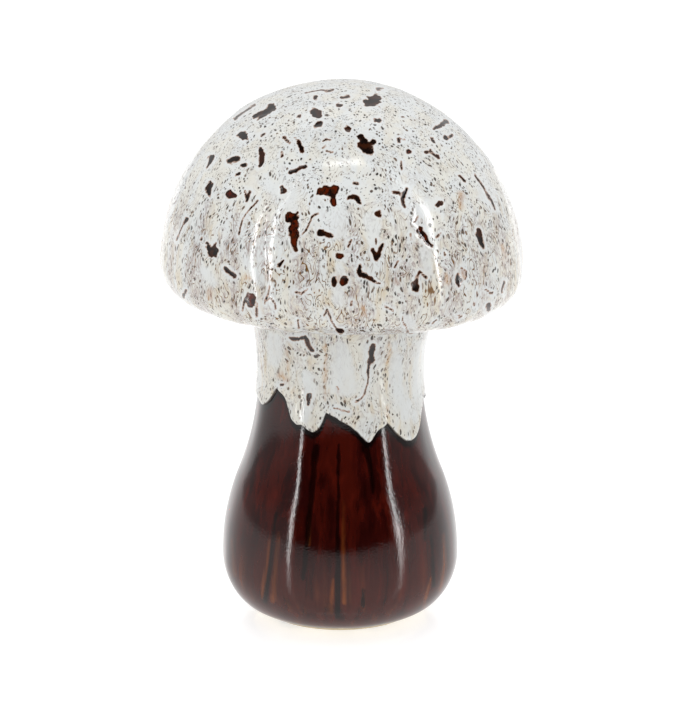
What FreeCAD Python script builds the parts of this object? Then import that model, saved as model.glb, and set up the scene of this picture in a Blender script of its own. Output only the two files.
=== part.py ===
import FreeCAD, Part
import Sketcher
import math
import os

# A free-standing ceramic mushroom: a hollow cap luted on a hollow stem, both slip cast,
# under a coat of brown glaze and, from the crown down to ragged runs on the neck, a coat of
# white glaze. It stands on four soft pads. Millimetres, Z up, the table at Z = 0, the front
# at -Y. Every size of the body is a size of the bare clay, and the coats lie outside it.

SIZES = {
    # Soft pads under the foot
    "pad_radius": 5.0,
    "pad_thickness": 2.0,
    "pad_edge": 0.4,
    "pad_pitch_radius": 17.0,
    "front_left_pad_pitch_radius": 21.5,
    # Stem outline: the belly stands over the underside of the foot, the neck over the belly
    "foot_radius": 30.5,
    "foot_bevel": 1.2,
    "belly_radius": 43.9,
    "belly_rise": 21.5,
    "belly_arc_radius": 84.0,
    "neck_radius": 29.7,
    "neck_over_belly": 72.5,
    "flare_radius": 70.0,
    # Cap outline, whose centre stands over the neck
    "cap_radius": 65.7,
    "cap_rim_radius": 12.2,
    "cap_over_neck": 40.0,
    # Cast walls, foot recess and the hole that lets air out of the hollow in the kiln
    "stem_wall": 5.0,
    "cap_wall": 5.0,
    "base_thickness": 6.0,
    "recess_radius": 11.0,
    "recess_depth": 1.5,
    "vent_radius": 4.5,
    # Luted joint between stem and cap
    "collar_thickness": 2.4,
    "collar_height": 4.0,
    "collar_clearance": 0.4,
    "slip_thickness": 0.6,
    "seam_fillet_radius": 5.0,
    # Glaze coats
    "brown_thickness": 0.5,
    "white_thickness": 0.8,
    "bare_foot_height": 1.9,
    "run_top_under_neck": 2.0,
    "run_length": 22.0,
    # Overrun of the cutting tool
    "overrun": 3.0,
}

# The lower edge of the white glaze, run by run: the notch left of each run and then the
# run's own bends, each in degrees from the front, positive to the right, and how far down
# the run length it lies.
RUN_EDGE_SHARES = (
    ((-98, 0.15), (-88, 0.34), (-76, 0.37), (-61, 0.41), (-54, 0.27)),
    ((-48, 0.06), (-40, 0.20), (-35, 0.47), (-25, 0.60), (-17, 0.67), (-12, 0.54)),
    ((-9, 0.35), (0, 0.48), (10, 0.65), (19, 0.86), (25, 0.69)),
    ((33, 0.58), (42, 0.86), (49, 0.97), (61, 0.86), (71, 0.54)),
    ((82, 0.12), (90, 0.40), (106, 0.66), (119, 0.56)),
    ((128, 0.34), (138, 0.66), (154, 0.88), (168, 0.60)),
    ((178, 0.28), (189, 0.50), (207, 0.76), (221, 0.48)),
    ((230, 0.18), (238, 0.50), (247, 0.64), (255, 0.44)),
)

# Each pad's place: degrees from the front, positive to the right, and its pitch radius
PADS = {
    "foot_pad_front_left": (-56, "front_left_pad_pitch_radius"),
    "foot_pad_front_right": (40, "pad_pitch_radius"),
    "foot_pad_back_right": (135, "pad_pitch_radius"),
    "foot_pad_back_left": (225, "pad_pitch_radius"),
}
FULL_TURN = 360
UP = FreeCAD.Vector(0, 0, 1)


class Size:
    """A length as a number, with the expression that ties it to the sheet."""

    def __init__(self, value, text):
        self.value = value
        self.text = text

    def __add__(self, other):
        return Size(self.value + other.value, f"({self.text} + {other.text})")

    def __sub__(self, other):
        return Size(self.value - other.value, f"({self.text} - {other.text})")

    def __mul__(self, other):
        return Size(self.value * other.value, f"({self.text} * {other.text})")

    def __truediv__(self, other):
        return Size(self.value / other.value, f"({self.text} / {other.text})")

    def root(self):
        return Size(math.sqrt(self.value), f"sqrt({self.text})")


NOTHING = Size(0.0, "0")


def make_sheet(doc):
    """Writes the driving dimensions to the sheet, and returns each as a Size."""
    sheet = doc.addObject("Spreadsheet::Sheet", "Sizes")
    for row, (alias, value) in enumerate(SIZES.items(), start=1):
        sheet.set(f"A{row}", alias)
        sheet.set(f"B{row}", str(value))
        sheet.setAlias(f"B{row}", alias)
    doc.recompute()
    return {alias: Size(float(sheet.get(alias)), f"Sizes.{alias}") for alias in SIZES}


def bend(width, height):
    """Radius of an arc that starts upright and strays by width over that height."""
    return (width * width + height * height) / (width + width)


def leg(hypotenuse, other):
    return (hypotenuse * hypotenuse - other * other).root()


class Form:
    """The mushroom's outline. Each point is on the bare clay, or at an offset outside it."""

    def __init__(self, size):
        self.size = size
        self.base = size["pad_thickness"]
        self.bevel_top = self.base + size["foot_bevel"]
        self.floor = self.base + size["base_thickness"]
        self.belly = self.base + size["belly_rise"]
        self.neck = self.belly + size["neck_over_belly"]
        self.cap_centre = self.neck + size["cap_over_neck"]
        self.underside = self.cap_centre - size["cap_rim_radius"]
        self.land = self.underside - size["slip_thickness"]
        self.run_top = self.neck - size["run_top_under_neck"]
        self.run_bottom = self.run_top - size["run_length"]
        # The arc under the belly meets the bevelled foot, and the arc above it meets the neck's
        self.heel_radius = bend(
            size["belly_radius"] - size["foot_radius"], self.belly - self.bevel_top
        )
        self.arcs_apart = bend(size["belly_radius"] - size["neck_radius"], self.neck - self.belly)
        self.waist_radius = self.arcs_apart - size["belly_arc_radius"]
        # Inside the wall the arc under the belly runs out on the floor, over the foot's edge
        self.floor_edge = (size["foot_radius"] - size["foot_bevel"], self.floor)
        belly_inside = size["belly_radius"] - size["stem_wall"]
        self.inner_heel_radius = bend(belly_inside - self.floor_edge[0], self.belly - self.floor)
        self.inner_heel_centre = (belly_inside - self.inner_heel_radius, self.belly)
        # Centres of the arcs, each with its level
        self.heel_centre = (size["belly_radius"] - self.heel_radius, self.belly)
        self.belly_centre = (size["belly_radius"] - size["belly_arc_radius"], self.belly)
        self.waist_centre = (size["neck_radius"] + self.waist_radius, self.neck)
        self.flare_centre = (size["neck_radius"] + size["flare_radius"], self.neck)
        self.seam_reach = size["flare_radius"] - size["seam_fillet_radius"]
        seam_level = self.underside - size["seam_fillet_radius"]
        seam_place = self.flare_centre[0] - leg(self.seam_reach, seam_level - self.neck)
        self.seam_centre = (seam_place, seam_level)
        self.rim_centre = (size["cap_radius"] - size["cap_rim_radius"], self.cap_centre)
        self.dome_centre = (NOTHING, self.cap_centre)
        # The collar stands on the inner edge of the stem, inside the cap's opening
        self.collar_inside = self.flare_at(self.land, NOTHING - size["stem_wall"])[0]
        self.collar_outside = self.collar_inside + size["collar_thickness"]
        self.opening = self.collar_outside + size["collar_clearance"]

    def heel_at(self, level, offset):
        place = leg(self.heel_radius + offset, self.belly - level)
        return self.heel_centre[0] + place, level

    def belly_at(self, offset):
        return self.size["belly_radius"] + offset, self.belly

    def bend_at(self, offset):
        """Where the belly's arc passes into the neck's."""
        share = (self.size["belly_arc_radius"] + offset) / self.arcs_apart
        return between(self.belly_centre, self.waist_centre, share)

    def waist_at(self, level, offset):
        place = leg(self.waist_radius - offset, self.neck - level)
        return self.waist_centre[0] - place, level

    def neck_at(self, offset):
        return self.size["neck_radius"] + offset, self.neck

    def flare_at(self, level, offset):
        place = leg(self.size["flare_radius"] - offset, level - self.neck)
        return self.flare_centre[0] - place, level

    def seam_low(self, offset):
        """Where the flare passes into the smoothed slip under the cap."""
        share = (self.size["flare_radius"] - offset) / self.seam_reach
        return between(self.flare_centre, self.seam_centre, share)

    def seam_high(self, offset):
        return self.seam_centre[0], self.underside - offset

    def rim_low(self, offset):
        return self.rim_centre[0], self.underside - offset

    def rim_high(self, offset):
        return self.size["cap_radius"] + offset, self.cap_centre

    def crown(self, offset):
        return NOTHING, self.cap_centre + self.size["cap_radius"] + offset


def between(start, end, share):
    """The point at that share of the way from start to end."""
    return tuple(a + (b - a) * share for a, b in zip(start, end))


class Outline:
    """A closed outline of corners joined by lines and arcs, each arc under a half turn."""

    def __init__(self, start):
        self.corners = [start]
        self.arcs = []

    def line(self, corner):
        self.corners.append(corner)
        self.arcs.append(None)

    def arc(self, corner, centre, radius):
        self.corners.append(corner)
        self.arcs.append((centre, radius))

    def stem_up(self, form, offset):
        """From the arc under the belly up to the neck."""
        size = form.size
        self.arc(form.belly_at(offset), form.heel_centre, form.heel_radius + offset)
        self.arc(form.bend_at(offset), form.belly_centre, size["belly_arc_radius"] + offset)
        self.arc(form.neck_at(offset), form.waist_centre, form.waist_radius - offset)

    def stem_down(self, form, offset):
        """From the neck down to the belly."""
        size = form.size
        self.arc(form.bend_at(offset), form.waist_centre, form.waist_radius - offset)
        self.arc(form.belly_at(offset), form.belly_centre, size["belly_arc_radius"] + offset)

    def cap_out(self, form, offset):
        """From the neck under the cap, round its rim and up to the crown."""
        size = form.size
        self.arc(form.seam_low(offset), form.flare_centre, size["flare_radius"] - offset)
        self.arc(form.seam_high(offset), form.seam_centre, size["seam_fillet_radius"] - offset)
        self.line(form.rim_low(offset))
        self.arc(form.rim_high(offset), form.rim_centre, size["cap_rim_radius"] + offset)
        self.arc(form.crown(offset), form.dome_centre, size["cap_radius"] + offset)

    def cap_back(self, form, offset):
        """From the crown round the rim and back under the cap to the neck."""
        size = form.size
        self.arc(form.rim_high(offset), form.dome_centre, size["cap_radius"] + offset)
        self.arc(form.rim_low(offset), form.rim_centre, size["cap_rim_radius"] + offset)
        self.line(form.seam_high(offset))
        self.arc(form.seam_low(offset), form.seam_centre, size["seam_fillet_radius"] - offset)
        self.arc(form.neck_at(offset), form.flare_centre, size["flare_radius"] - offset)


def spot(place):
    return FreeCAD.Vector(place[0].value, place[1].value, 0)


def draw_side(sketch, start, end, arc):
    """Draws one side, and returns it with the numbers of its first and last point."""
    if arc is None:
        return sketch.addGeometry(Part.LineSegment(spot(start), spot(end)), False), 1, 2
    centre = spot(arc[0])
    arms = [spot(start) - centre, spot(end) - centre]
    backward = arms[0].cross(arms[1]).z < 0
    if backward:
        arms.reverse()
    angles = [math.atan2(arm.y, arm.x) for arm in arms]
    circle = Part.Circle(centre, UP, arc[1].value)
    side = sketch.addGeometry(Part.ArcOfCircle(circle, *angles), False)
    return (side, 2, 1) if backward else (side, 1, 2)


def fix(sketch, kind, where, size):
    """Adds a dimension to a sketch and binds it to the sheet."""
    number = sketch.addConstraint(Sketcher.Constraint(kind, *where, size.value))
    sketch.setExpression(f"Constraints[{number}]", size.text)


def new_sketch(body, name, plane):
    """A sketch on one of the body's own origin planes."""
    sketch = body.newObject("Sketcher::SketchObject", name)
    support = next(f for f in body.Origin.OriginFeatures if f.Role == plane)
    sketch.AttachmentSupport = [(support, "")]
    sketch.MapMode = "FlatFace"
    return sketch


def turned_body(doc, label, outline):
    """A body turned about Z from an outline, with every corner and arc tied to the sheet."""
    body = doc.addObject("PartDesign::Body", label)
    body.Label = label
    sketch = new_sketch(body, f"{label}_section", "XZ_Plane")
    corners = outline.corners
    ends = corners[1:] + corners[:1]
    arcs = outline.arcs + [None]
    sides = [draw_side(sketch, *row) for row in zip(corners, ends, arcs)]
    for (side, _, last), (following, first, _) in zip(sides, sides[1:] + sides[:1]):
        sketch.addConstraint(Sketcher.Constraint("Coincident", side, last, following, first))
    for (side, _, last), (across, level), arc in zip(sides, ends, arcs):
        if across is NOTHING:
            sketch.addConstraint(Sketcher.Constraint("PointOnObject", side, last, -2))
        else:
            fix(sketch, "DistanceX", (-1, 1, side, last), across)
        if level is NOTHING:
            sketch.addConstraint(Sketcher.Constraint("PointOnObject", side, last, -1))
        else:
            fix(sketch, "DistanceY", (-1, 1, side, last), level)
        if arc is not None:
            fix(sketch, "Radius", (side,), arc[1])
    turned = body.newObject("PartDesign::Revolution", f"{label}_turned")
    turned.Profile = sketch
    turned.ReferenceAxis = (sketch, ["V_Axis"])
    turned.Angle = FULL_TURN
    sketch.Visibility = False
    return body


def make_stem_body(doc, form):
    """The hollow stem: bevelled foot with a recess and a vent, and a land with a collar on top."""
    size = form.size
    inside = NOTHING - size["stem_wall"]
    collar_top = form.land + size["collar_height"]
    recess_top = form.base + size["recess_depth"]
    outline = Outline((size["recess_radius"], form.base))
    outline.line((size["foot_radius"] - size["foot_bevel"], form.base))
    outline.line((size["foot_radius"], form.bevel_top))
    outline.stem_up(form, NOTHING)
    outline.arc(form.flare_at(form.land, NOTHING), form.flare_centre, size["flare_radius"])
    outline.line((form.collar_outside, form.land))
    outline.line((form.collar_outside, collar_top))
    outline.line((form.collar_inside, collar_top))
    outline.line((form.collar_inside, form.land))
    outline.arc(form.neck_at(inside), form.flare_centre, size["flare_radius"] - inside)
    outline.stem_down(form, inside)
    outline.arc(form.floor_edge, form.inner_heel_centre, form.inner_heel_radius)
    outline.line((size["vent_radius"], form.floor))
    outline.line((size["vent_radius"], recess_top))
    outline.line((size["recess_radius"], recess_top))
    return turned_body(doc, "stem_body", outline)


def make_cap_body(doc, form):
    """The hollow cap: a dome with a rolled rim and a flat underside, open where the stem enters."""
    size = form.size
    inside = NOTHING - size["cap_wall"]
    outline = Outline((form.opening, form.underside))
    outline.line(form.rim_low(NOTHING))
    outline.arc(form.rim_high(NOTHING), form.rim_centre, size["cap_rim_radius"])
    outline.arc(form.crown(NOTHING), form.dome_centre, size["cap_radius"])
    outline.line(form.crown(inside))
    outline.arc(form.rim_high(inside), form.dome_centre, size["cap_radius"] + inside)
    outline.arc(form.rim_low(inside), form.rim_centre, size["cap_rim_radius"] + inside)
    outline.line((form.opening, form.underside - inside))
    return turned_body(doc, "cap_body", outline)


def make_luting_seam(doc, form):
    """The slip that joins cap to stem, smoothed into the corner outside."""
    size = form.size
    outline = Outline((form.opening, form.land))
    outline.line(form.flare_at(form.land, NOTHING))
    outline.arc(form.seam_low(NOTHING), form.flare_centre, size["flare_radius"])
    outline.arc(form.seam_high(NOTHING), form.seam_centre, size["seam_fillet_radius"])
    outline.line((form.opening, form.underside))
    return turned_body(doc, "luting_seam", outline)


def make_brown_glaze(doc, form):
    """The first coat, over everything above the bare line of the foot."""
    size = form.size
    coat = size["brown_thickness"]
    line = form.base + size["bare_foot_height"]
    outline = Outline(form.heel_at(line, NOTHING))
    outline.stem_up(form, NOTHING)
    outline.cap_out(form, NOTHING)
    outline.line(form.crown(coat))
    outline.cap_back(form, coat)
    outline.stem_down(form, coat)
    outline.arc(form.heel_at(line, coat), form.heel_centre, form.heel_radius + coat)
    return turned_body(doc, "brown_glaze", outline)


def make_white_glaze(doc, form):
    """The second coat, over cap and neck, with its lower edge cut to runs."""
    size = form.size
    under = size["brown_thickness"]
    coat = under + size["white_thickness"]
    waist = form.waist_centre
    outline = Outline(form.waist_at(form.run_bottom, under))
    outline.arc(form.neck_at(under), waist, form.waist_radius - under)
    outline.cap_out(form, under)
    outline.line(form.crown(coat))
    outline.cap_back(form, coat)
    outline.arc(form.waist_at(form.run_bottom, coat), waist, form.waist_radius - coat)
    whole = turned_body(doc, "white_coat", outline)
    glaze = doc.addObject("Part::Cut", "white_glaze")
    glaze.Label = "white_glaze"
    glaze.Base = whole
    glaze.Tool = make_run_cutter(doc, form)
    return glaze


def run_edge(form, radius):
    """The lower edge of the white glaze at that radius: a smooth tongue from notch to notch."""
    tongues = []
    notches = [run[0] for run in RUN_EDGE_SHARES]
    notches.append((notches[0][0] + FULL_TURN, notches[0][1]))
    for run, following in zip(RUN_EDGE_SHARES, notches[1:]):
        curve = Part.BSplineCurve()
        curve.interpolate([edge_point(form, radius, *place) for place in (*run, following)])
        tongues.append(curve.toShape())
    return Part.Wire(tongues)


def edge_point(form, radius, degrees, share):
    """A point of the white glaze's lower edge."""
    angle = math.radians(degrees)
    level = form.run_top.value - form.size["run_length"].value * share
    return FreeCAD.Vector(radius * math.sin(angle), -radius * math.cos(angle), level)


def make_run_cutter(doc, form):
    """Everything below the glaze's edge, as a thick ring with a scalloped top."""
    size = form.size
    overrun = size["overrun"].value
    bottom = form.run_bottom.value - overrun
    inner = run_edge(form, size["neck_radius"].value - overrun)
    outer = run_edge(form, size["belly_radius"].value + overrun)
    scalloped = Part.makeRuledSurface(inner, outer)
    drop = scalloped.BoundBox.ZMax - bottom
    cutter = doc.addObject("Part::Feature", "run_cutter")
    cutter.Shape = scalloped.extrude(FreeCAD.Vector(0, 0, -drop))
    return cutter


def make_pad(doc, form, label, degrees, pitch):
    """A round stick-on pad, its lower edge bevelled, flat against the underside of the foot."""
    size = form.size
    edge = size["pad_edge"]
    outline = Outline((NOTHING, NOTHING))
    outline.line((size["pad_radius"] - edge, NOTHING))
    outline.line((size["pad_radius"], edge))
    outline.line((size["pad_radius"], form.base))
    outline.line((NOTHING, form.base))
    pad = turned_body(doc, label, outline)
    pad.setExpression(".Placement.Base.x", f"{size[pitch].text} * sin({degrees} deg)")
    pad.setExpression(".Placement.Base.y", f"-{size[pitch].text} * cos({degrees} deg)")
    return pad


def check(doc, pieces):
    """Stops if any object failed, or any piece isn't one valid solid."""
    for item in doc.Objects:
        if "Invalid" in item.State or "Error" in item.State:
            raise RuntimeError(f"{item.Label} failed: {item.State}")
    for piece in pieces:
        shape = piece.Shape
        if shape.isNull() or not shape.isValid() or len(shape.Solids) != 1:
            raise RuntimeError(f"{piece.Label} is not one valid solid")


def main():
    doc = FreeCAD.newDocument("mushroom")
    form = Form(make_sheet(doc))
    pieces = [
        make_stem_body(doc, form),
        make_cap_body(doc, form),
        make_luting_seam(doc, form),
        make_brown_glaze(doc, form),
        make_white_glaze(doc, form),
    ]
    for label, (degrees, pitch) in PADS.items():
        pieces.append(make_pad(doc, form, label, degrees, pitch))
    doc.recompute()
    check(doc, pieces)
    os.makedirs("parts", exist_ok=True)
    for piece in pieces:
        piece.Shape.exportStep(f"parts/{piece.Label}.step")
        print(f"{piece.Label}: {piece.Shape.Volume:.0f} cubic mm")


main()
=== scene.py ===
import math

import bpy
import numpy as np
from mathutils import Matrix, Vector


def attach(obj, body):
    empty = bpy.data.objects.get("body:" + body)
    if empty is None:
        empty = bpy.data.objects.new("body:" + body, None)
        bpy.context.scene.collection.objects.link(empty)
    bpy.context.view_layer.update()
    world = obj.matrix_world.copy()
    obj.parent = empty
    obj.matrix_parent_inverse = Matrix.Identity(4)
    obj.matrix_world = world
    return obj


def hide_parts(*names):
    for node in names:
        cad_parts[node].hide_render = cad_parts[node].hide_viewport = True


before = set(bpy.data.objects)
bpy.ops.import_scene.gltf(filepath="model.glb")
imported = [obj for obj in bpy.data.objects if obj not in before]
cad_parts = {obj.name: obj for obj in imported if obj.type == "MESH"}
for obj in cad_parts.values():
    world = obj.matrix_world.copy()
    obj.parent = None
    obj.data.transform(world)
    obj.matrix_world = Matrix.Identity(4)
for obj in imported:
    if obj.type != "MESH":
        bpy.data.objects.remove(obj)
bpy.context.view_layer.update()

# A glazed ceramic mushroom. Sizes are in millimetres here and turned to metres in the meshes.
# Azimuths are degrees from the front, which is -Y, positive towards +X.
MM = 0.001

# Outline of the bare clay, as turned about Z, from the same sizes as the solids
BASE = 2.0
FOOT_RADIUS = 30.5
FOOT_BEVEL = 1.2
BELLY_RADIUS = 43.9
BELLY_LEVEL = BASE + 21.5
BELLY_ARC_RADIUS = 84.0
NECK_RADIUS = 29.7
NECK_LEVEL = BELLY_LEVEL + 72.5
FLARE_RADIUS = 70.0
CAP_RADIUS = 65.7
CAP_RIM_RADIUS = 12.2
CAP_LEVEL = NECK_LEVEL + 40.0
SEAM_RADIUS = 5.0
BARE_FOOT_HEIGHT = 3.0
BROWN = 0.5
WHITE = 0.8

# Lower edge of the white glaze, run by run: the notch left of each run and then the run's
# own bends, each an azimuth and how far down the run length it lies
RUN_TOP = NECK_LEVEL - 2.0
RUN_LENGTH = 22.0
RUN_EDGE_SHARES = (
    ((-98, 0.15), (-88, 0.34), (-76, 0.37), (-61, 0.41), (-54, 0.27)),
    ((-48, 0.06), (-40, 0.2), (-35, 0.47), (-25, 0.6), (-17, 0.67), (-12, 0.54)),
    ((-9, 0.35), (0, 0.48), (10, 0.65), (19, 0.86), (25, 0.69)),
    ((33, 0.58), (42, 0.86), (49, 0.97), (61, 0.86), (71, 0.54)),
    ((80, 0.34), (90, 0.44), (106, 0.66), (119, 0.56)),
    ((128, 0.34), (138, 0.66), (154, 0.88), (168, 0.6)),
    ((178, 0.28), (189, 0.5), (207, 0.76), (221, 0.48)),
    ((230, 0.18), (238, 0.5), (247, 0.64), (255, 0.44)),
)
EDGE_ROLL = 1.15
EDGE_WIDTH = 1.1
EDGE_ZONE = 3.2
SETTLED_HEIGHT = 8.0
EDGE_ROWS = (3.2, 2.5, 1.9, 1.4, 1.0, 0.68, 0.42, 0.22, 0.08, 0.0)

# Relief of the glaze
CAP_VALLEYS = (-35, -23.7, -11.3, 7, 22, 36.7, 50, 65, 79, 94, 108, 121, 136, 150, 165, 179,
               194, 207, 222, 236, 250, 264, 278, 292, 308)
CAP_RUN_DEPTH = 0.5
CAP_RUNS_BELOW_CROWN = (18.0, 52.0)
# Where the relief fades in, and the height over which the neck's fades out under the cap
UNDERSIDE_FADE = (NECK_RADIUS + 10.0, NECK_RADIUS + 24.0)
STEM_FADE = (BASE + 3.0, BASE + 25.0)
NECK_FADE_HEIGHT = 14.0
CAP_TILT = 1.3
CAP_SHIFT = 0.9
CAP_DROOP = 1.3
CAP_DROOP_LEVELS = (CAP_LEVEL + 42.0, CAP_LEVEL + 8.0)
LEAST_COAT = 0.25
STEM_RIDGES = 9
STEM_RIDGE_HEIGHT = 0.17
STEM_VALLEY = -1.5
STREAK_RADIUS = 36.0
STREAK_RISE = 0.432
# Layers of noise, each a height, a size across, a squash upwards and a seed
EDGE_RAGS = ((0.25, 1.6, 1, 11), (0.25, 5, 1, 12))
STEM_BROAD = (1, 15, 1, 21)
STEM_FINE = (0.04, 6, 1.6, 22)
CAP_WANDER = (5, 30, 0.5, 31)
CAP_STRENGTH = (0.5, 22, 1, 32)
CAP_LUMPS = ((0.5, 26, 1, 33), (0.2, 11, 1, 34), (0.09, 5, 0.5, 35))
NECK_LUMPS = (0.12, 5, 0.3, 36)
LINE_WAVES = (0.25, 7, 1, 41)
SWERVE_ACROSS = (0.7, 4.5, 1, 51)
SWERVE_DOWN = (0.7, 4.5, 1, 52)
OPENING_DIP = 0.2
BROWN_TOP = RUN_TOP + 4.0
# The lower edge of the brown glaze, rounded over that height, in rows so far over its end
FOOT_ROLL = 0.5
FOOT_ROLL_ROWS = (0.45, 0.28, 0.14, 0.05)
HIDDEN_COAT = 0.02

# The camera that the photograph was taken with
PHOTO_WIDTH_PX = 690
PHOTO_HEIGHT_PX = 708
CAMERA_DISTANCE = 1000.0
CAMERA_ELEVATION = 15.0
PX_PER_MM = 2.68
SENSOR = 36.0
AXIS_PX = 340.0
AIM_LEVEL = 100.5

# Floor, with its half width in metres
FLOOR_HALF_WIDTH = 6.0
FLOOR_GLOW = 0.62

# What the glaze mirrors: a dark window, bright strips and a bar, by azimuth and level in
# degrees. Pitch is the level as seen straight from the side, over 90 behind.
WINDOW_AZIMUTHS = (-50.0, 62.0)
WINDOW_LEVELS = (-3.0, 70.0)
CEILING_PITCHES = (68.0, 108.0)
STRIP_AZIMUTHS = ((-53.8, -52.2), (63.0, 64.6))
STRIP_LEVELS = (-1.0, 62.0)
BAR_AZIMUTHS = (-48.0, 52.0)
BAR_LEVELS = (71.0, 76.0)

# Meshes: columns round the fullest rows, closer together at the front than at the back
COLUMNS = 432
INNER_COLUMNS = 108
FEWEST_COLUMNS = 27
FRONT_CLOSENESS = 0.4
HALVING_SHARE = 0.7
ROW = 0.75
INNER_ROW = 5.0

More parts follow.
